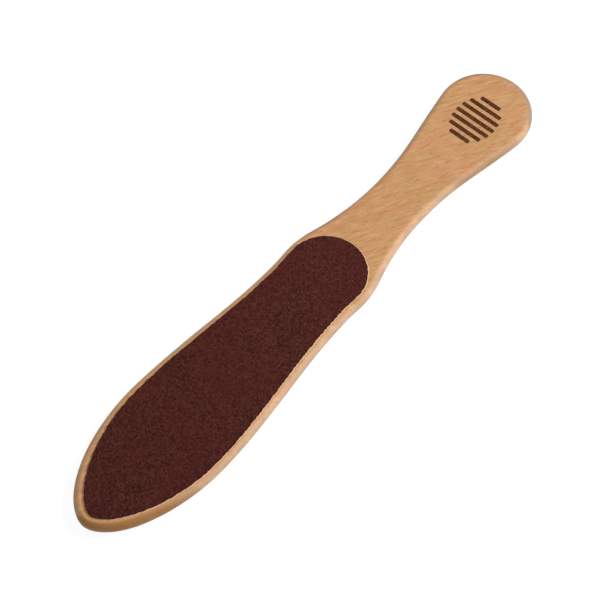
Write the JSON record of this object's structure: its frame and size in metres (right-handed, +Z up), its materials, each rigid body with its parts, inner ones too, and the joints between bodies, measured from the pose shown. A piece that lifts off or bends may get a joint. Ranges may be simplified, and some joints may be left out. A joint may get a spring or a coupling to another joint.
{
  "type": "foot file",
  "caption": "Flat wooden paddle with abrasive sheets glued to both faces of its head, coarse above and fine below, and a waisted grip, for smoothing hard skin on the feet.",
  "frame": {"origin": "under the middle of the overall length and width, on the plane that the fine abrasive face rests on", "axes": "+X along the paddle from the head's tip towards the handle's end, +Z up through the coarse face, +Y across the width to the left when looking from tip to handle"},
  "size_m": [0.26, 0.0496, 0.0071],
  "materials": {
    "beech": "fine-sanded beech with a thin satin oil finish, short dark flecks and soft wavy figure",
    "glue": "thin amber film of contact glue",
    "backing_paper": "resin-soaked waterproof paper, sanded flush at its edge",
    "resin": "cured brown-red resin, glossy between the grains",
    "coarse_grit": "sharp maroon-brown aluminium oxide grains, sparkling",
    "fine_grit": "fine brown aluminium oxide grains, even and matt",
    "ink": "matt dark-brown printing ink, a little worn"
  },
  "bodies": {
    "root": {"wood_paddle": "beech", "coarse_glue_film": "glue", "coarse_backing_paper": "backing_paper", "coarse_resin_coat": "resin", "coarse_grain": "coarse_grit", "fine_glue_film": "glue", "fine_backing_paper": "backing_paper", "fine_resin_coat": "resin", "fine_grain": "fine_grit", "coarse_side_mark": "ink"}
  },
  "joints": []
}
